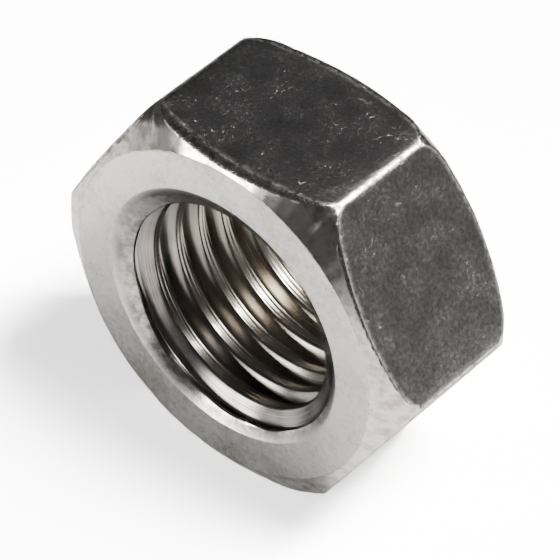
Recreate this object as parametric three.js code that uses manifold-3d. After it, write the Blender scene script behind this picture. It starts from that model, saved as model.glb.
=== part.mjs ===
// Hex nut with a coarse metric thread, standing on one of its six wrench flats.
// Millimetres, +Z up. The bore runs along Y and the marked face looks towards -Y. The origin lies
// under the middle of the nut, on the surface that it stands on.
import * as THREE from "three";
import { mergeVertices } from "three/addons/utils/BufferGeometryUtils.js";
import Module from "manifold-3d";

const wasm = await Module();
wasm.setup();

// Driving dimensions: lengths in millimetres, angles in degrees.
const acrossFlats = 29.2;
const height = 14.9;
const edgeRadius = 1.6; // rounding of the six edges between neighbouring flats
const markedFaceInset = 0.65; // from the middle of a flat in to the marked face's rim
const plainFaceRing = 1.725; // width of the plain face between its countersink and its rim
const chamferAngle = 30; // between a face and its chamfer cone
const cornerBlend = 2.3; // radius that eases each chamfer cone into the corners
const threadDiameter = 20; // nominal size: the grooves' diameter
const pitch = 2.5;
const crestRelief = 0.2; // how much wider the tapping hole is than the basic minor diameter
const mouthLead = 1.55; // how much wider each countersink's mouth is than the thread
const countersinkAngle = 120; // included angle
const threadStart = 1.59; // depth of the first crest's middle, measured at the +X corner

// Fineness of the curved surfaces.
const columnsPerTurn = 60;
const columnsAround = 96;
const stepsPerArc = 6; // even, so that a rounded edge keeps its tip

// What the driving dimensions give.
const flankHalfAngle = THREE.MathUtils.degToRad(30);
const rootFlat = pitch / 8;
const basicCrestFlat = pitch / 4;
const basicThreadDepth = (pitch - rootFlat - basicCrestFlat) / 2 / Math.tan(flankHalfAngle);
const threadDepth = basicThreadDepth - crestRelief / 2;
const crestFlat = pitch - rootFlat - 2 * threadDepth * Math.tan(flankHalfAngle);
const majorRadius = threadDiameter / 2;
const minorRadius = majorRadius - threadDepth;
const mouthRadius = majorRadius + mouthLead / 2;
const markedRimRadius = acrossFlats / 2 - markedFaceInset;
const plainRimRadius = mouthRadius + plainFaceRing;
const edgeCentreRadius = (acrossFlats / 2 - edgeRadius) / Math.cos(Math.PI / 6);
const cornerRadius = edgeCentreRadius + edgeRadius;

// A closed geometry as a manifold-3d solid.
function solidOf(geometry) {
  const bare = geometry.clone();
  bare.deleteAttribute("normal");
  bare.deleteAttribute("uv");
  const merged = mergeVertices(bare);
  return new wasm.Manifold(
    new wasm.Mesh({
      numProp: 3,
      vertProperties: new Float32Array(merged.attributes.position.array),
      triVerts: new Uint32Array(merged.index.array),
    }),
  );
}

// A manifold-3d solid as a geometry with flat shading.
function geometryOf(solid) {
  const mesh = solid.getMesh();
  const indexed = new THREE.BufferGeometry();
  indexed.setAttribute("position", new THREE.BufferAttribute(mesh.vertProperties, 3));
  indexed.setIndex(new THREE.BufferAttribute(mesh.triVerts, 1));
  const flat = indexed.toNonIndexed();
  flat.computeVertexNormals();
  return flat;
}

// Points along an arc in the plane of an outline or a profile, both ends included.
function arcPoints(centreX, centreY, radius, fromAngle, toAngle) {
  return Array.from({ length: stepsPerArc + 1 }, (_, i) => {
    const angle = fromAngle + ((toAngle - fromAngle) * i) / stepsPerArc;
    return new THREE.Vector2(
      centreX + radius * Math.cos(angle),
      centreY + radius * Math.sin(angle),
    );
  });
}

// A profile of (radius, height) points turned about the Z axis.
function turned(profile) {
  return new THREE.LatheGeometry(profile, columnsAround).rotateX(Math.PI / 2);
}

// Six flats with rounded edges between them: the bar that the nut is formed from.
function hexagonalBar() {
  const outline = [];
  for (let corner = 0; corner < 6; corner++) {
    const angle = (corner * Math.PI) / 3;
    outline.push(
      ...arcPoints(
        edgeCentreRadius * Math.cos(angle),
        edgeCentreRadius * Math.sin(angle),
        edgeRadius,
        angle - Math.PI / 6,
        angle + Math.PI / 6,
      ),
    );
  }
  return new THREE.ExtrudeGeometry(new THREE.Shape(outline), {
    depth: height,
    bevelEnabled: false,
  }).translate(0, 0, -height / 2);
}

// The turned envelope that trims the bar: two faces, a cone behind each face's rim, and an arc
// that eases the cone into the corners.
function chamferEnvelope() {
  const clearOfCorners = 0.02;
  const outerRadius = cornerRadius + clearOfCorners;
  const slope = THREE.MathUtils.degToRad(chamferAngle);
  const blendStart = Math.PI / 2 - slope;
  function end(rimRadius, side) {
    const coneDrop = (outerRadius - rimRadius) * Math.tan(slope);
    const blendDrop = cornerBlend * Math.tan(blendStart / 2);
    const centreHeight = side * (height / 2 - coneDrop - blendDrop);
    return [
      new THREE.Vector2(0, (side * height) / 2),
      new THREE.Vector2(rimRadius, (side * height) / 2),
      ...arcPoints(outerRadius - cornerBlend, centreHeight, cornerBlend, side * blendStart, 0),
    ];
  }
  return turned([...end(plainRimRadius, -1), ...end(markedRimRadius, 1).reverse()]);
}

// The room that a bolt's thread takes: a ribbon of four bands, crest, flank, root and flank,
// wound about the axis once per pitch from below the nut to above it, each end closed by a fan.
function threadRoom() {
  const bands = [
    { along: -crestFlat / 2, radius: minorRadius },
    { along: crestFlat / 2, radius: minorRadius },
    { along: pitch / 2 - rootFlat / 2, radius: majorRadius },
    { along: pitch / 2 + rootFlat / 2, radius: majorRadius },
    { along: pitch - crestFlat / 2, radius: minorRadius },
  ];
  const turnsBelow = Math.ceil((height - threadStart) / pitch) + 1;
  const turnsAbove = Math.ceil(threadStart / pitch) + 1;
  const columns = (turnsBelow + turnsAbove) * columnsPerTurn;
  const bottom = height / 2 - threadStart - turnsBelow * pitch;
  const positions = [];
  const triangles = [];
  for (let column = 0; column <= columns; column++) {
    const angle = (2 * Math.PI * column) / columnsPerTurn;
    for (const { along, radius } of bands) {
      positions.push(
        radius * Math.cos(angle),
        radius * Math.sin(angle),
        bottom + (pitch * column) / columnsPerTurn + along,
      );
    }
  }
  const vertex = (column, band) => column * bands.length + band;
  for (let column = 0; column < columns; column++) {
    for (let band = 0; band + 1 < bands.length; band++) {
      const here = vertex(column, band);
      const ahead = vertex(column + 1, band);
      triangles.push(here, ahead, ahead + 1, here, ahead + 1, here + 1);
    }
  }
  // Each end's rim is one turn of the ribbon's free side and the ribbon's own end.
  function fan(rim, apexHeight) {
    const apex = positions.length / 3;
    positions.push(0, 0, apexHeight);
    rim.forEach((from, i) => triangles.push(apex, rim[(i + 1) % rim.length], from));
  }
  const last = bands.length - 1;
  const oneTurn = Array.from({ length: columnsPerTurn + 1 }, (_, i) => i);
  const acrossRibbon = Array.from({ length: last - 1 }, (_, i) => i + 1);
  fan(
    [
      ...oneTurn.map((i) => vertex(i, 0)),
      ...acrossRibbon.map((band) => vertex(0, last - band)),
    ],
    bottom - pitch,
  );
  fan(
    [
      ...oneTurn.map((i) => vertex(columns - i, last)),
      ...acrossRibbon.map((band) => vertex(columns, band)),
    ],
    height / 2 - threadStart + (turnsAbove + 1) * pitch,
  );
  const room = new THREE.BufferGeometry();
  room.setAttribute("position", new THREE.Float32BufferAttribute(positions, 3));
  room.setIndex(triangles);
  return room;
}

// A cone that opens one end of the bore; side is 1 for the marked face and -1 for the plain one.
function countersink(side) {
  const slope = THREE.MathUtils.degToRad(countersinkAngle / 2);
  const face = height / 2;
  const beyond = 1;
  const profile = [
    new THREE.Vector2(0, face - mouthRadius / Math.tan(slope)),
    new THREE.Vector2(mouthRadius + beyond * Math.tan(slope), face + beyond),
    new THREE.Vector2(0, face + beyond),
  ];
  const cone = turned(profile);
  return side > 0 ? cone : cone.rotateX(Math.PI);
}

function hexNut() {
  const solid = solidOf(hexagonalBar())
    .intersect(solidOf(chamferEnvelope()))
    .subtract(solidOf(threadRoom()))
    .subtract(solidOf(countersink(1)))
    .subtract(solidOf(countersink(-1)));
  const steel = new THREE.MeshStandardMaterial({
    color: 0x9a9793,
    roughness: 0.35,
    metalness: 1,
  });
  const nut = new THREE.Mesh(geometryOf(solid), steel);
  nut.name = "hex_nut";
  nut.rotation.x = Math.PI / 2;
  nut.position.z = acrossFlats / 2;
  return nut;
}

const part = new THREE.Group();
part.add(hexNut());

export default part;
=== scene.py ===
import math
import bpy
import numpy as np
from mathutils import Matrix, Vector


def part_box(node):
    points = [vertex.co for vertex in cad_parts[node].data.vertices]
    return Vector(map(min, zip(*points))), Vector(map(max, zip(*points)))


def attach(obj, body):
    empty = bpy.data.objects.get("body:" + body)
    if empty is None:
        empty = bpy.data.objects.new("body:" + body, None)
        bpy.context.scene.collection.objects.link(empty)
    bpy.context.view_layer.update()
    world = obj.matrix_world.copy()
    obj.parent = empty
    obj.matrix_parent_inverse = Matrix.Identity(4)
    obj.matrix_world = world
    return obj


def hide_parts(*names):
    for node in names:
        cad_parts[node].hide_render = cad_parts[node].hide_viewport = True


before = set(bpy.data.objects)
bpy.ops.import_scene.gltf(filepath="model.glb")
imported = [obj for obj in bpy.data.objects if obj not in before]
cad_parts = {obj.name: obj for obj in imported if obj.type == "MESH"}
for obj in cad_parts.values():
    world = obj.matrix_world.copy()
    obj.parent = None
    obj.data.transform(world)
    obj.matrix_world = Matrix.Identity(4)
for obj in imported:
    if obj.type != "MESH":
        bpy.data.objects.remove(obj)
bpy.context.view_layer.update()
print("frame loaded")

mm = 0.001
nutLow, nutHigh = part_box("hex_nut")
acrossFlats = (nutHigh.z - nutLow.z) / mm
height = (nutHigh.y - nutLow.y) / mm
apothem = acrossFlats / 2
halfHeight = height / 2
boreMiddle = (nutLow + nutHigh) / 2


cameraView = {
    "azimuth": 38.99,  # degrees round from the front, towards +X
    "elevation": 43.78,
    "roll": 2.34,
    "distance": 285.4,  # mm from the point aimed at
    "aimAside": 5.34,  # mm from the middle of the marked face, along +X
    "aimAbove": 7.2,
    "lens": 260.5,
}


def makeCamera():
    # back = the direction from the nut to the camera; right and up lie across it, turned by the roll
    azimuth = math.radians(cameraView["azimuth"])
    elevation = math.radians(cameraView["elevation"])
    roll = math.radians(cameraView["roll"])
    level = math.cos(elevation)
    back = Vector((math.sin(azimuth) * level, -math.cos(azimuth) * level, math.sin(elevation)))
    levelRight = Vector((math.cos(azimuth), math.sin(azimuth), 0))
    levelUp = back.cross(levelRight)
    right = levelRight * math.cos(roll) + levelUp * math.sin(roll)
    up = back.cross(right)
    aim = Vector((boreMiddle.x, nutLow.y, boreMiddle.z))
    aim += Vector((cameraView["aimAside"], 0, cameraView["aimAbove"])) * mm
    turn = Matrix((right, up, back)).transposed().to_4x4()
    data = bpy.data.cameras.new("camera")
    data.lens = cameraView["lens"]
    data.clip_start = 0.01
    data.clip_end = 20
    camera = bpy.data.objects.new("camera", data)
    camera.matrix_world = Matrix.Translation(aim + back * cameraView["distance"] * mm) @ turn
    bpy.context.scene.collection.objects.link(camera)
    bpy.context.scene.camera = camera


def addNode(tree, kind, inputs, **settings):
    # settings are the node's own properties; an input takes a value or the socket that feeds it
    made = tree.nodes.new(kind)
    for name, value in settings.items():
        setattr(made, name, value)
    for name, value in inputs.items():
        if isinstance(value, bpy.types.NodeSocket):
            tree.links.new(value, made.inputs[name])
        else:
            made.inputs[name].default_value = value
    return made


def objectPlace(tree):
    # a point's own place in the nut's mesh, in metres
    return addNode(tree, "ShaderNodeTexCoord", {}).outputs["Object"]


def stored(tree, name, output):
    # an attribute that makeNutMesh keeps at each vertex
    return addNode(tree, "ShaderNodeAttribute", {}, attribute_name=name).outputs[output]


def cloud(tree, place, size, detail=2.0, roughness=0.5, swirl=0.0):
    # soft noise from 0 to 1 whose blotches are about that size, in the place's own units;
    # swirl draws the blotches out into short curls
    inputs = {"Vector": place, "Scale": 1 / size, "Detail": detail, "Roughness": roughness}
    inputs["Distortion"] = swirl
    return addNode(tree, "ShaderNodeTexNoise", inputs).outputs["Fac"]


def ramp(tree, value, fromLow, fromHigh, toLow=0.0, toHigh=1.0):
    # a straight line from toLow at fromLow to toHigh at fromHigh, held beyond both
    inputs = {"Value": value, "From Min": fromLow, "From Max": fromHigh, "To Min": toLow, "To Max": toHigh}
    return addNode(tree, "ShaderNodeMapRange", inputs).outputs["Result"]


def mixValue(tree, share, first, second):
    # first at a share of 0, second at a share of 1
    return addNode(tree, "ShaderNodeMix", {0: share, 2: first, 3: second}).outputs[0]


def mixColour(tree, share, first, second):
    made = addNode(tree, "ShaderNodeMix", {0: share, 6: first, 7: second}, data_type="RGBA")
    return made.outputs[2]


def maths(tree, operation, first, second):
    return addNode(tree, "ShaderNodeMath", {0: first, 1: second}, operation=operation).outputs[0]


nutShape = {
    "edgeRadius": 1.6,  # rounding of the six edges between the flats
    "markedFaceInset": 0.65,
    "plainFaceRing": 1.725,
    "chamferAngle": 30,
    "cornerBlend": 2.3,
    "cornerClearance": 0.02,
    "rimWander": 0.14,  # how far a rim strays inwards
    "rimSeeds": (3, 4),  # the marked face's and the plain one's
    "threadDiameter": 20,
    "pitch": 2.5,
    "crestRelief": 0.2,
    "mouthLead": 1.55,
    "countersinkAngle": 120,
    "threadStart": 1.59,
    "flatBreak": (0.16, 0.95),  # least and greatest radius between a chamfer and a flat
    "flatBreakWidest": 115,  # degrees round the bore from the +X corner
    "rimBreak": 0.12,
    "mouthBreak": 0.12,
    "threadEase": 0.22,  # how far the crests' and roots' corners are eased
    "cleftDepth": 0.07,  # the fine groove that forming leaves along a crest
    "cleftWidth": 0.11,
    "straightDepth": 0.4,  # rows follow the thread's helix below this depth
    "edgeColumns": 10,  # section planes across each rounded edge
    "flatColumns": 44,  # and between one edge and the next
    "besideEdge": 0.4,  # degrees from a rounded edge to the first plane on the flat
    "besideCrest": 0.09,  # mm from a thread corner to the rows on both sides of it
    "rowsInPitch": (3, 4, 4, 5, 4, 4, 3),
    "arcRows": 6,
    "faceRows": (12, 8),  # on the marked face and on the plain one
    "chamferRows": 8,
    "flatRows": 36,
    "wornAndGlintLine": 0.07,  # half width of the bright line where a flat begins: rubbed wear, partly a painted highlight along the break
    "ridgeGlintFront": 0.17,  # half width of the bright line down an edge, at the marked face's end: rubbed wear, partly a painted highlight that narrows towards the plain face
    "ridgeGlintBack": 0.05,
}

edgeRadius = nutShape["edgeRadius"]
pitch = nutShape["pitch"]
slope = math.radians(nutShape["chamferAngle"])
mouthSlope = math.radians(90 - nutShape["countersinkAngle"] / 2)
flankTangent = math.tan(math.radians(60))  # a flank's rise per mm along the axis
rootFlat = pitch / 8
threadDepth = (pitch - rootFlat - pitch / 4) / 2 * flankTangent - nutShape["crestRelief"] / 2
crestFlat = pitch - rootFlat - 2 * threadDepth / flankTangent
majorRadius = nutShape["threadDiameter"] / 2
minorRadius = majorRadius - threadDepth
mouthRadius = majorRadius + nutShape["mouthLead"] / 2
markedRim = apothem - nutShape["markedFaceInset"]
plainRim = mouthRadius + nutShape["plainFaceRing"]
edgeCentre = (apothem - edgeRadius) / math.cos(math.pi / 6)
edgeHalfAngle = math.atan2(edgeRadius / 2, edgeCentre + edgeRadius * math.cos(math.pi / 6))
# the ease that brings the middle of an edge in to its rounded radius
edgeEase = 2 / (edgeCentre + edgeRadius) - 2 * math.cos(math.pi / 6) / apothem
blendRadius = nutShape["cornerBlend"]
blendCentre = edgeCentre + edgeRadius + nutShape["cornerClearance"] - blendRadius
helixEnd = halfHeight - nutShape["straightDepth"]


def steps(marks, counts):
    # equal steps from each mark to the next, without the last mark
    runs = [np.linspace(a, b, n, endpoint=False) for a, b, n in zip(marks, marks[1:], counts)]
    return np.concatenate(runs)


def softMax(first, second, ease):
    # the pair's mean plus half the hypotenuse of their difference and the ease, so that the
    # corner where one overtakes the other is rounded
    return (first + second + np.hypot(first - second, ease)) / 2


def softMin(first, second, ease):
    # the same with half the hypotenuse taken away
    return (first + second - np.hypot(first - second, ease)) / 2


def columnAngles():
    # angles of the section planes, closest together across the six rounded edges
    beside = math.radians(nutShape["besideEdge"])
    marks = [-edgeHalfAngle, edgeHalfAngle, edgeHalfAngle + beside]
    marks += [math.pi / 3 - edgeHalfAngle - beside, math.pi / 3 - edgeHalfAngle]
    sector = steps(marks, [nutShape["edgeColumns"], 1, nutShape["flatColumns"], 1])
    turns = np.arange(6)[:, None] * math.pi / 3
    return (turns + sector).ravel()


def outlineRadius(theta):
    # from the axis to the hexagon's outline: one over the soft maximum of the cosines to the two
    # nearest flats over the apothem, eased so that an edge keeps its own distance from the axis
    off = (theta + math.pi / 6) % (math.pi / 3) - math.pi / 6
    oneFlat = np.cos(math.pi / 6 - off) / apothem
    otherFlat = np.cos(math.pi / 6 + off) / apothem
    return 1 / softMax(oneFlat, otherFlat, edgeEase)


def wanderingRim(theta, rim, seed):
    # the rim less a share of its wander: a half plus half the sum of waves round the axis, the
    # finer ones shallower, over the root of their strengths' sum, held from 0 to 1
    coarsest, finest = 2, 90
    weakest = 0.3
    fading = 0.6
    random = np.random.default_rng(seed)
    waves = np.arange(coarsest, finest)
    phases = random.uniform(0, 2 * math.pi, len(waves))
    strengths = random.uniform(weakest, 1, len(waves)) / waves**fading
    total = (np.sin(waves * theta[:, None] + phases) * strengths).sum(axis=1)
    total /= np.abs(strengths).sum() ** 0.5
    return rim - nutShape["rimWander"] * np.clip(0.5 + 0.5 * total, 0, 1)


def chamferHeight(radius, rim):
    # a straight cone down from the rim, then a tangent arc that stands upright just past the corners
    blendStart = blendCentre + blendRadius * math.sin(slope)
    cone = halfHeight - (np.minimum(radius, blendStart) - rim) * math.tan(slope)
    past = np.clip(radius - blendCentre, blendRadius * math.sin(slope), blendRadius)
    return cone - blendRadius * math.cos(slope) + np.sqrt(blendRadius**2 - past**2)


def chamferSlope(radius):
    # the angle that chamferHeight falls at: the arc sine of the way past the arc's centre over
    # its radius, held at the cone's slope
    past = np.clip(radius - blendCentre, blendRadius * math.sin(slope), blendRadius)
    return np.arcsin(past / blendRadius)


def crestDistance(height, theta):
    # along the axis, from the nearest crest's middle: the height above a crest, wrapped to half a
    # pitch either way, and the crests climb one pitch per turn
    crest = halfHeight - nutShape["threadStart"] + pitch * theta / (2 * math.pi)
    return np.abs((height - crest + pitch / 2) % pitch - pitch / 2)


def threadRadius(height, theta):
    # a 60 degree flank held between the crest's and the root's radius, with a groove along the crest
    away = crestDistance(height, theta)
    flank = minorRadius + (away - crestFlat / 2) * flankTangent
    ease = nutShape["threadEase"]
    held = softMin(softMax(flank, minorRadius, ease), majorRadius, ease)
    return held + nutShape["cleftDepth"] * np.exp(-((away / nutShape["cleftWidth"]) ** 2))


def mouthConeRadius(height):
    # the mouth's radius less the depth below the face over the tangent of the cone's slope
    return mouthRadius - (halfHeight - np.abs(height)) / math.tan(mouthSlope)


def boreRadius(height, theta):
    # whichever lies further out, the thread or the countersink's cone
    return softMax(threadRadius(height, theta), mouthConeRadius(height), nutShape["threadEase"] / 2)


def boreHeights(theta):
    # rows that climb with the thread, from below the bore to above it, held at its two ends
    crestEdge = crestFlat / 2
    near = nutShape["besideCrest"]
    rootEdge = pitch / 2 - rootFlat / 2
    marks = [0, crestEdge - near, crestEdge + near, rootEdge - near, pitch - rootEdge + near]
    marks += [pitch - crestEdge - near, pitch - crestEdge + near, pitch]
    inPitch = steps(marks, nutShape["rowsInPitch"])
    first = halfHeight - nutShape["threadStart"]
    pitchesBelow = math.ceil((first + helixEnd) / pitch) + 1
    pitchesAbove = math.ceil((helixEnd - first) / pitch)
    turns = np.arange(-pitchesBelow, pitchesAbove)[:, None] * pitch
    climb = first + np.append((turns + inPitch).ravel(), pitchesAbove * pitch)
    rows = climb[:, None] + pitch * theta / (2 * math.pi)
    return np.clip(rows, -helixEnd, helixEnd), len(inPitch)


def brokenEdge(radius, height, heading, turn, rounding):
    # an arc tangent to both sides of a section's corner, met on that heading and turned clockwise
    radius, height = np.broadcast_arrays(radius, height)
    lead = rounding * np.tan(turn / 2)
    centreRadius = radius - lead * np.cos(heading) + rounding * np.sin(heading)
    centreHeight = height - lead * np.sin(heading) - rounding * np.cos(heading)
    along = heading - np.linspace(0, 1, nutShape["arcRows"])[:, None] * turn
    return centreRadius - rounding * np.sin(along), centreHeight + rounding * np.cos(along)


def runBetween(before, after, shares, heightOf=None):
    # rows from one arc's end to the next arc's start, straight or on a chamfer
    shares = np.asarray(shares)[:, None]
    radius = before[0][-1] + (after[0][0] - before[0][-1]) * shares
    height = before[1][-1] + (after[1][0] - before[1][-1]) * shares
    return radius, height if heightOf is None else heightOf(radius)


def closeToEnds(count, near):
    # shares of a run: one just inside each end, the others evenly between them
    return np.concatenate(([near], np.linspace(0, 1, count + 2)[1:-1], [1 - near]))


def flatBreak(theta):
    # from the least to the greatest radius by the cube of a raised cosine
    least, greatest = nutShape["flatBreak"]
    near = 0.5 + 0.5 * np.cos(theta - math.radians(nutShape["flatBreakWidest"]))
    return least + (greatest - least) * near**3


def outerSection(theta):
    # the section from the marked mouth out over the flats and back in to the plain mouth,
    # as blocks of rows, with each block's finish: (face share, chamfer share), and which row is worn
    outline = outlineRadius(theta)
    still = np.zeros_like(theta)
    mouth = nutShape["mouthBreak"]
    rimBreak = nutShape["rimBreak"]
    rounding = flatBreak(theta)
    right = math.pi / 2
    dip = chamferSlope(outline)
    markedSeed, plainSeed = nutShape["rimSeeds"]
    marked = wanderingRim(theta, markedRim, markedSeed)
    plain = wanderingRim(theta, plainRim, plainSeed)
    markedMouth = brokenEdge(mouthRadius + still, halfHeight, mouthSlope, mouthSlope, mouth)
    markedEdge = brokenEdge(marked, halfHeight, 0, slope, rimBreak)
    upperBreak = brokenEdge(outline, chamferHeight(outline, marked), -dip, right - dip, rounding)
    lowerBreak = brokenEdge(outline, -chamferHeight(outline, plain), -right, right - dip, rounding)
    plainEdge = brokenEdge(plain, -halfHeight, slope - math.pi, slope, rimBreak)
    plainMouth = brokenEdge(mouthRadius + still, -halfHeight, -math.pi, mouthSlope, mouth)
    face = (1, 0)
    chamfer = (0, 1)
    flat = (0, 0)
    # shares of each run, and how close to its ends the first and last row lie
    acrossMarked = closeToEnds(nutShape["faceRows"][0], 0.02)
    acrossPlain = closeToEnds(nutShape["faceRows"][1], 0.04)
    downChamfer = closeToEnds(nutShape["chamferRows"], 0.05)
    downFlat = closeToEnds(nutShape["flatRows"], 0.006)

    def onMarked(radius):
        return chamferHeight(radius, marked)

    def onPlain(radius):
        return -chamferHeight(radius, plain)

    return [
        (markedMouth, face, None),
        (runBetween(markedMouth, markedEdge, acrossMarked), face, None),
        (markedEdge, (0.5, 0.5), None),
        (runBetween(markedEdge, upperBreak, downChamfer, onMarked), chamfer, None),
        (upperBreak, (0, 0.5), "last"),
        (runBetween(upperBreak, lowerBreak, downFlat), flat, None),
        (lowerBreak, (0, 0.5), "first"),
        (runBetween(lowerBreak, plainEdge, downChamfer, onPlain), chamfer, None),
        (plainEdge, (0.5, 0.5), None),
        (runBetween(plainEdge, plainMouth, acrossPlain), face, None),
        (plainMouth, face, None),
    ]


def gridFaces(rows, columns, boreRows, rowsPerPitch):
    # triangles between neighbouring rows and columns of a grid closed both ways; where the last
    # column meets the first, the bore's rows meet the rows one pitch further up
    here = np.arange(rows)
    ahead = here.copy()
    ahead[:boreRows] = np.minimum(here[:boreRows] + rowsPerPitch, boreRows - 1)
    left = here[:, None] * columns + np.arange(columns)
    right = np.concatenate((left[:, 1:], (ahead * columns)[:, None]), axis=1)
    nextLeft = np.roll(left, -1, axis=0)
    nextRight = np.roll(right, -1, axis=0)
    first = np.stack((left, nextLeft, nextRight), axis=-1).reshape(-1, 3)
    second = np.stack((left, nextRight, right), axis=-1).reshape(-1, 3)
    return np.concatenate((first, second))


def nutGrid():
    # every vertex as angle, radius and height, with its finish, wear and way along the section
    theta = columnAngles()
    boreHeight, rowsPerPitch = boreHeights(theta)
    boreRows = len(boreHeight)
    borePart = (boreRadius(boreHeight, theta), boreHeight)
    blocks = [(borePart, (0, 0), None)] + outerSection(theta)
    radius = np.concatenate([block[0][0] for block in blocks])
    height = np.concatenate([block[0][1] for block in blocks])
    counts = [len(block[0][0]) for block in blocks]
    rowFace, rowChamfer = (np.repeat([block[1][i] for block in blocks], counts) for i in (0, 1))
    # only the last row of an arc onto a flat, or the first row of one off it, is worn and carries the
    # painted highlight line
    ends = np.cumsum(counts)
    rowWorn = np.zeros(len(radius), bool)
    rowWorn[[end - 1 for end, block in zip(ends, blocks) if block[2] == "last"]] = True
    starts = ends - counts
    rowWorn[[start for start, block in zip(starts, blocks) if block[2] == "first"]] = True
    face = rowFace[:, None] + 0 * radius
    chamfer = rowChamfer[:, None] + 0 * radius
    # in the bore, what isn't thread is the countersink's seat
    proud = threadRadius(boreHeight, theta) - mouthConeRadius(boreHeight)
    thread = np.zeros_like(radius)
    thread[:boreRows] = np.clip(proud / nutShape["threadEase"], 0, 1)
    seat = np.zeros_like(radius)
    seat[:boreRows] = 1 - thread[:boreRows]
    # wear, with its painted highlight, fades with the distance along the section from the nearest worn row
    stride = np.hypot(np.diff(radius, axis=0), np.diff(height, axis=0))
    travelled = np.concatenate((0 * radius[:1], np.cumsum(stride, axis=0)))
    wearAndGlint = np.zeros_like(radius)
    for row in np.flatnonzero(rowWorn):
        wearAndGlint = np.maximum(wearAndGlint, np.exp(-((travelled - travelled[row]) / nutShape["wornAndGlintLine"]) ** 2))
    finish = np.stack((face, chamfer, thread, seat), axis=-1)
    return theta, radius, height, finish, wearAndGlint, boreRows, rowsPerPitch


def makeNutMesh():
    # the grid's points, each at its radius times the cosine and sine of its angle, with points
    # that fall together made one
    turnedAround = 1.5
    turnedAlong = 0.5
    windingAround = 8
    windingAlong = 2
    theta, radius, height, finish, wearAndGlint, boreRows, rowsPerPitch = nutGrid()
    rows, columns = radius.shape
    angle = np.broadcast_to(theta, radius.shape)
    # the six upright edges are worn along their ridges, most widely at the marked face's end; the bright
    # band is partly a painted highlight, as narrow as the edge's highlight line
    off = np.abs((angle + math.pi / 6) % (math.pi / 3) - math.pi / 6)
    toBack = np.clip(0.5 - height / (2 * halfHeight), 0, 1)
    ridgeGlintWidth = nutShape["ridgeGlintFront"] + (nutShape["ridgeGlintBack"] - nutShape["ridgeGlintFront"]) * toBack
    ridgeGlintBand = np.exp(-((off * radius / ridgeGlintWidth) ** 2)) * (radius > apothem)
    wearAndGlint = np.maximum(wearAndGlint, ridgeGlintBand)
    # local x, y and the axis stand as X, Z and -Y
    place = np.stack((radius * np.cos(angle), -height, radius * np.sin(angle) + apothem), axis=-1)
    place = place.reshape(-1, 3)
    decimals = 6
    rounded = np.round(place, decimals)
    kept, index, back = np.unique(rounded, axis=0, return_index=True, return_inverse=True)
    triangles = back.ravel()[gridFaces(rows, columns, boreRows, rowsPerPitch)]
    a, b, c = triangles.T
    triangles = triangles[(a != b) & (b != c) & (c != a)]
    mesh = bpy.data.meshes.new("finished_hex_nut")
    mesh.from_pydata((kept * mm).tolist(), [], triangles.tolist())
    mesh.shade_smooth()

    def pick(values):
        # one value for each point kept
        return np.ascontiguousarray(values.reshape(-1)[index], dtype=np.float32)

    addAttribute(mesh, "finish", "FLOAT_COLOR", "color", finish.reshape(-1, 4)[index])
    addAttribute(mesh, "wearAndGlint", "FLOAT", "value", pick(wearAndGlint))
    keptAngle = pick(angle)
    keptRadius = pick(radius)
    keptHeight = pick(height)
    # turned marks run round the axis: angle goes round a small circle, and the distance outwards
    # counts in full
    around = (turnedAround * np.cos(keptAngle), turnedAround * np.sin(keptAngle))
    turning = np.stack((*around, keptRadius + turnedAlong * keptHeight), axis=-1)
    addAttribute(mesh, "turning", "FLOAT_VECTOR", "vector", turning)
    # marks along the thread: the phase within the pitch goes round a circle, height moves slowly
    phase = 2 * math.pi * keptHeight / pitch - keptAngle
    circle = (windingAround * np.cos(phase), windingAround * np.sin(phase))
    winding = np.stack((*circle, windingAlong * keptHeight), axis=-1)
    addAttribute(mesh, "winding", "FLOAT_VECTOR", "vector", winding)
    return mesh


def addAttribute(mesh, name, kind, field, values):
    made = mesh.attributes.new(name, kind, "POINT")
    made.data.foreach_set(field, np.ascontiguousarray(values, dtype=np.float32).ravel())


nutDamage = {
    "seed": 20,
    "flatRipple": 0.012,  # mm, all of these push inwards only
    "edgeRipple": 0.035,
    "faceRipple": 0.004,
    "rippleLengths": (3.0, 4.0, 1.3),  # mm from wave to wave, on flats, faces and edges
    "dentedFrom": 0.7,  # least wear (the worn and painted highlight band) where a dent may lie
    "dents": 70,
    "dentSmallest": 0.35,
    "dentLargest": 0.9,
    "dentDepth": 0.09,  # of the deepest dents, as a share of their size
    "dentShallowest": 0.2,  # as a share of the deepest
}


def ripple(points, wavelength, random):
    # a half plus a third of the sum of plane waves in random directions over the root of their
    # number, held from 0 to 1
    total = np.zeros(len(points))
    waves = 28
    for _ in range(waves):
        direction = random.normal(size=3)
        direction /= np.linalg.norm(direction)
        length = wavelength * random.uniform(0.7, 1.5)
        total += np.sin(points @ direction * 2 * math.pi / length + random.uniform(0, 2 * math.pi))
    return np.clip(0.5 + total / math.sqrt(waves) / 3, 0, 1)


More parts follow.
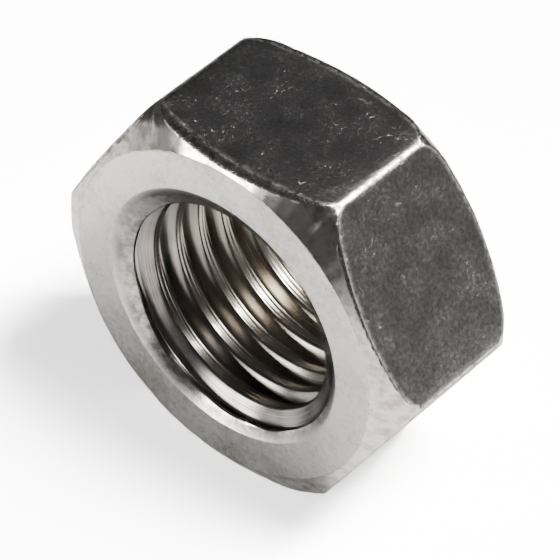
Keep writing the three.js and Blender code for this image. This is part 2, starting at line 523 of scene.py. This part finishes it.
def wearSurface(mesh):
    # each vertex moves in along its own normal, by ripples and by round-bottomed dents on the edges
    random = np.random.default_rng(nutDamage["seed"])
    count = len(mesh.vertices)
    points = np.empty(count * 3)
    mesh.vertices.foreach_get("co", points)
    points = points.reshape(-1, 3) / mm
    normals = np.empty(count * 3)
    mesh.vertex_normals.foreach_get("vector", normals)
    normals = normals.reshape(-1, 3)
    wearAndGlint = np.empty(count)
    mesh.attributes["wearAndGlint"].data.foreach_get("value", wearAndGlint)
    finish = np.empty(count * 4)
    mesh.attributes["finish"].data.foreach_get("color", finish)
    face, chamfer, thread, seat = finish.reshape(-1, 4).T
    face = face + seat
    flat = np.clip(1 - face - chamfer - thread, 0, 1)
    flatLength, faceLength, edgeLength = nutDamage["rippleLengths"]
    push = nutDamage["flatRipple"] * (flat + chamfer) * ripple(points, flatLength, random)
    push += nutDamage["faceRipple"] * face * ripple(points, faceLength, random)
    push += nutDamage["edgeRipple"] * wearAndGlint * ripple(points, edgeLength, random)
    push *= 1 - thread
    worn = np.flatnonzero(wearAndGlint > nutDamage["dentedFrom"])
    for centre in random.choice(worn, nutDamage["dents"], replace=False):
        size = random.uniform(nutDamage["dentSmallest"], nutDamage["dentLargest"])
        away = np.linalg.norm(points - points[centre], axis=1) / size
        bowl = np.clip(1 - away**2, 0, 1) ** 2
        share = random.uniform(nutDamage["dentShallowest"], 1)
        push += nutDamage["dentDepth"] * share * size * bowl * (1 - thread)
    moved = (points - normals * push[:, None]) * mm
    mesh.vertices.foreach_set("co", moved.ravel())
    mesh.update()


flatFinish = {
    "dark": (0.05, 0.0486, 0.0495, 1),
    "light": (0.112, 0.11, 0.1105, 1),
    "stroke": (0.19, 0.188, 0.1865, 1),
    "grain": 0.3 * mm,
    "strokes": 0.5 * mm,
    "blotches": 2.2 * mm,
    "strokeBreaks": 0.3 * mm,
    "strokeWidth": 0.045,
    "strokeStrength": 0.75,
    "strokeRelief": 0.4,  # the strokes' share of the relief
    "smooth": 0.27,
    "rough": 0.42,
}

faceFinish = {
    "light": (0.76, 0.75, 0.727, 1),
    "stained": (0.44, 0.41, 0.385, 1),
    "pit": (0.12, 0.11, 0.1, 1),
    "rings": 0.14,  # mm across
    "scuffs": 0.5 * mm,
    "stains": 5 * mm,
    "pitGroups": 2.5 * mm,
    "pits": 0.16 * mm,
    "smooth": 0.18,
    "rough": 0.28,
    "relief": 0.15,  # depth, as a share of the flats'
}

seatFinish = {
    "light": (0.54, 0.526, 0.504, 1),
    "stained": (0.13, 0.122, 0.113, 1),
    "tears": 0.4 * mm,
    "patches": 2.4 * mm,
    "smooth": 0.1,
    "rough": 0.2,
    "relief": 0.5,
}

chamferFinish = {
    "light": (0.6, 0.58, 0.562, 1),
    "stained": (0.3, 0.26, 0.242, 1),
    "mottle": 0.9 * mm,
    "border": 0.45 * mm,  # size of the strays in its border
    "stray": 0.4,  # how much of the share they add or take away
    "smooth": 0.1,
    "rough": 0.2,
    "relief": 0.3,
}

threadFinish = {
    "light": (0.24, 0.222, 0.21, 1),
    "stained": (0.08, 0.07, 0.064, 1),
    # painted warm bounce light: the deeper turns are tinted warmer, standing in for light reflected
    # between the turns
    "warmBounceTint": (0.24, 0.215, 0.178, 1),
    "warmBounceShare": 0.7,  # greatest share of the painted warm bounce tint
    "lines": 1.2,  # in the winding attribute's own units
    "stains": 3 * mm,
    "smooth": 0.18,
    "rough": 0.28,
    "relief": 0.12,
}

# bright rubbed steel along the edges and breaks: real wear, and partly a painted highlight line
wornAndGlintFinish = {
    "brightWornAndGlint": (0.72, 0.71, 0.69, 1),
    "roughness": 0.25,
    "patches": 0.5 * mm,
}

reliefDepth = 0.02 * mm


def flatNodes(tree, place):
    # tumbled: light and dark grain, under short curled strokes where a swirled noise crosses 0.5
    grain = cloud(tree, place, flatFinish["grain"], 3, 0.65, 0.6)
    blotch = cloud(tree, place, flatFinish["blotches"], 3)
    share = ramp(tree, mixValue(tree, 0.3, grain, blotch), 0.36, 0.64)
    colour = mixColour(tree, share, flatFinish["dark"], flatFinish["light"])
    curls = cloud(tree, place, flatFinish["strokes"], 3, 0.55, 1.4)
    offCurl = maths(tree, "ABSOLUTE", maths(tree, "SUBTRACT", curls, 0.5), 0)
    strokes = ramp(tree, offCurl, 0, flatFinish["strokeWidth"], 1, 0)
    broken = ramp(tree, cloud(tree, place, flatFinish["strokeBreaks"], 2), 0.42, 0.58)
    crowded = ramp(tree, blotch, 0.38, 0.62, 0.25, 0.85)
    strokes = maths(tree, "MULTIPLY", strokes, maths(tree, "MULTIPLY", broken, crowded))
    strength = maths(tree, "MULTIPLY", strokes, flatFinish["strokeStrength"])
    colour = mixColour(tree, strength, colour, flatFinish["stroke"])
    roughness = ramp(tree, grain, 0.3, 0.7, flatFinish["rough"], flatFinish["smooth"])
    relief = mixValue(tree, flatFinish["strokeRelief"], ramp(tree, grain, 0.2, 0.8), strokes)
    return colour, roughness, relief


def faceNodes(tree, place):
    # turned and handled: faint rings, scuffs and soft stains
    turning = stored(tree, "turning", "Vector")
    rings = cloud(tree, turning, faceFinish["rings"], 3)
    scuff = cloud(tree, place, faceFinish["scuffs"], 4, 0.6)
    stain = mixValue(tree, 0.4, cloud(tree, place, faceFinish["stains"], 4, 0.6), scuff)
    stain = ramp(tree, stain, 0.45, 0.62)
    colour = mixColour(tree, stain, faceFinish["light"], faceFinish["stained"])
    # small pits, in scattered groups
    groups = cloud(tree, place, faceFinish["pitGroups"], 2)
    groups = ramp(tree, groups, 0.45, 0.65, 0.1, -0.03)
    pits = maths(tree, "SUBTRACT", cloud(tree, place, faceFinish["pits"], 1), groups)
    pits = ramp(tree, pits, 0.66, 0.74)
    colour = mixColour(tree, pits, colour, faceFinish["pit"])
    worked = maths(tree, "SUBTRACT", mixValue(tree, 0.6, rings, scuff), pits)
    roughness = ramp(tree, worked, 0.35, 0.65, faceFinish["smooth"], faceFinish["rough"])
    return colour, roughness, worked


def seatNodes(tree, place):
    # the countersinks: smoother than the faces, with torn and stained patches
    torn = cloud(tree, place, seatFinish["tears"], 5, 0.65)
    patch = ramp(tree, cloud(tree, place, seatFinish["patches"], 4, 0.6), 0.36, 0.64)
    stain = ramp(tree, mixValue(tree, 0.6, patch, torn), 0.3, 0.65)
    colour = mixColour(tree, stain, seatFinish["light"], seatFinish["stained"])
    roughness = ramp(tree, patch, 0, 1, seatFinish["smooth"], seatFinish["rough"])
    return colour, roughness, maths(tree, "MULTIPLY", torn, ramp(tree, patch, 0, 1, 0.4, 1))


def chamferNodes(tree, place):
    # as pressed: mottled scale over the steel
    mottle = cloud(tree, place, chamferFinish["mottle"], 5, 0.6)
    stain = ramp(tree, mottle, 0.44, 0.62)
    colour = mixColour(tree, stain, chamferFinish["light"], chamferFinish["stained"])
    roughness = ramp(tree, mottle, 0.35, 0.65, chamferFinish["smooth"], chamferFinish["rough"])
    return colour, roughness, mottle


def threadNodes(tree, place):
    # formed: fine lines along the helix, and stains
    winding = stored(tree, "winding", "Vector")
    lines = cloud(tree, winding, threadFinish["lines"], 4, 0.6)
    stain = mixValue(tree, 0.5, lines, cloud(tree, place, threadFinish["stains"], 2))
    stain = ramp(tree, stain, 0.45, 0.65)
    colour = mixColour(tree, stain, threadFinish["light"], threadFinish["stained"])
    # painted warm bounce light: the turns deeper from the marked face are tinted warmer and lighter,
    # standing in for light reflected between the turns
    depth = addNode(tree, "ShaderNodeSeparateXYZ", {0: place}).outputs["Y"]
    halfDeep = halfHeight * mm
    warmBounceShare = ramp(tree, depth, -0.5 * halfDeep, 0.3 * halfDeep, 0, threadFinish["warmBounceShare"])
    colour = mixColour(tree, warmBounceShare, colour, threadFinish["warmBounceTint"])
    roughness = ramp(tree, lines, 0.3, 0.7, threadFinish["smooth"], threadFinish["rough"])
    return colour, roughness, lines


def nutSteel():
    # the flats' finish, with each other finish laid over it by its share at the vertex
    material = bpy.data.materials.new("plain_steel")
    material.use_nodes = True
    tree = material.node_tree
    tree.nodes.clear()
    place = objectPlace(tree)
    shares = addNode(tree, "ShaderNodeSeparateColor", {0: stored(tree, "finish", "Color")}).outputs
    colour, roughness, relief = flatNodes(tree, place)
    # a chamfer's border with a flat or a face strays, and is crisp
    reach = chamferFinish["stray"]
    stray = ramp(tree, cloud(tree, place, chamferFinish["border"], 4, 0.6), 0.3, 0.7, -reach, reach)
    chamferShare = ramp(tree, maths(tree, "ADD", shares[1], stray), 0.42, 0.58)
    seatShare = stored(tree, "finish", "Alpha")
    layers = [(faceNodes, shares[0], faceFinish), (seatNodes, seatShare, seatFinish)]
    layers += [(chamferNodes, chamferShare, chamferFinish)]
    layers += [(threadNodes, shares[2], threadFinish)]
    for layer, share, layerFinish in layers:
        layerColour, layerRoughness, layerRelief = layer(tree, place)
        layerRelief = maths(tree, "MULTIPLY", layerRelief, layerFinish["relief"])
        colour = mixColour(tree, share, colour, layerColour)
        roughness = mixValue(tree, share, roughness, layerRoughness)
        relief = mixValue(tree, share, relief, layerRelief)
    # rubbed bright along the edges, unevenly: partly wear, partly painted highlight lines down the edges
    # and along the breaks
    patchy = ramp(tree, cloud(tree, place, wornAndGlintFinish["patches"], 3), 0.35, 0.6)
    rubbedAndGlint = maths(tree, "MULTIPLY", stored(tree, "wearAndGlint", "Fac"), patchy)
    colour = mixColour(tree, rubbedAndGlint, colour, wornAndGlintFinish["brightWornAndGlint"])
    roughness = mixValue(tree, rubbedAndGlint, roughness, wornAndGlintFinish["roughness"])
    inputs = {"Strength": 1.0, "Distance": reliefDepth, "Height": relief}
    bump = addNode(tree, "ShaderNodeBump", inputs)
    inputs = {"Base Color": colour, "Roughness": roughness, "Metallic": 1.0}
    inputs["Normal"] = bump.outputs["Normal"]
    shader = addNode(tree, "ShaderNodeBsdfPrincipled", inputs)
    addNode(tree, "ShaderNodeOutputMaterial", {"Surface": shader.outputs["BSDF"]})
    return material


def makeNut():
    # the finished nut rides on the one body, in place of the CAD node
    mesh = makeNutMesh()
    wearSurface(mesh)
    mesh.materials.append(nutSteel())
    nut = bpy.data.objects.new("finished_hex_nut", mesh)
    bpy.context.scene.collection.objects.link(nut)
    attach(nut, "root")
    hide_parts("hex_nut")
    print("nut made:", len(mesh.vertices), "vertices,", len(mesh.polygons), "faces")


studio = {
    "floorRadius": 1.5,
    "floorColour": (0.82, 0.82, 0.82, 1),
    "floorSeen": (3.1, 3.1, 3.1, 1),  # its colour straight from the camera, over-exposed
    "floorLift": 1.3,  # added to the floor where the camera sees it
    "roomGlow": 0.1,
    "backdrop": 1.65,
}

# each softbox: the direction that its light comes from, its distance, its width and height,
# its radiance, its spread in degrees and its colour
softboxes = {
    "highBack": ((0.35, 0.24, 0.91), 0.3, (0.13, 0.13), 3.8, 30, (1, 0.99, 0.97)),
    "lowRight": ((0.88, 0.4, 0.24), 0.5, (0.2, 0.2), 0.4, 120, (1, 0.98, 0.95)),
    "glint": ((0.375, 0.547, 0.749), 0.5, (0.055, 0.055), 210, 120, (1, 0.98, 0.93)),
    "lowFront": ((-0.52, -0.84, 0.15), 0.4, (0.19, 0.08), 8, 100, (1, 1, 0.99)),
}


def makeFloor():
    # a flat disc: rings of points round the origin
    turns = np.linspace(0, 2 * math.pi, 96, endpoint=False)
    ring = np.stack((np.cos(turns), np.sin(turns), 0 * turns), axis=-1) * studio["floorRadius"]
    mesh = bpy.data.meshes.new("floor")
    mesh.from_pydata(ring.tolist(), [], [list(range(len(ring)))])
    material = bpy.data.materials.new("pale_floor")
    material.use_nodes = True
    tree = material.node_tree
    shader = tree.nodes["Principled BSDF"]
    shader.inputs["Roughness"].default_value = 0.9
    shader.inputs["Specular IOR Level"].default_value = 0.1
    shader.inputs["Emission Color"].default_value = (1, 1, 1, 1)
    seen = addNode(tree, "ShaderNodeLightPath", {}).outputs["Is Camera Ray"]
    colour = mixColour(tree, seen, studio["floorColour"], studio["floorSeen"])
    tree.links.new(colour, shader.inputs["Base Color"])
    lift = maths(tree, "MULTIPLY", seen, studio["floorLift"])
    tree.links.new(lift, shader.inputs["Emission Strength"])
    mesh.materials.append(material)
    floor = bpy.data.objects.new("floor", mesh)
    floor.location.z = nutLow.z
    bpy.context.scene.collection.objects.link(floor)


def makeSoftbox(name, direction, distance, size, radiance, spread, colour):
    # an area light that faces the nut; its power is its radiance times pi times its area
    data = bpy.data.lights.new(name, "AREA")
    data.shape = "RECTANGLE"
    data.size, data.size_y = size
    data.energy = radiance * math.pi * size[0] * size[1]
    data.spread = math.radians(spread)
    data.color = colour
    light = bpy.data.objects.new(name, data)
    towards = Vector(direction).normalized()
    light.location = boreMiddle + towards * distance
    light.rotation_mode = "QUATERNION"
    light.rotation_quaternion = towards.to_track_quat("Z", "Y")
    light.visible_camera = False
    bpy.context.scene.collection.objects.link(light)


def makeRoom():
    # the backdrop looks pale behind the nut, and the room lights it only faintly
    world = bpy.data.worlds.new("room")
    world.use_nodes = True
    tree = world.node_tree
    tree.nodes.clear()
    seen = addNode(tree, "ShaderNodeLightPath", {}).outputs["Is Camera Ray"]
    strength = mixValue(tree, seen, studio["roomGlow"], studio["backdrop"])
    background = addNode(tree, "ShaderNodeBackground", {"Color": (1, 1, 1, 1), "Strength": strength})
    addNode(tree, "ShaderNodeOutputWorld", {"Surface": background.outputs[0]})
    bpy.context.scene.world = world


makeCamera()
makeNut()
makeFloor()
for name, settings in softboxes.items():
    makeSoftbox(name, *settings)
makeRoom()
print("camera, floor and lights made")
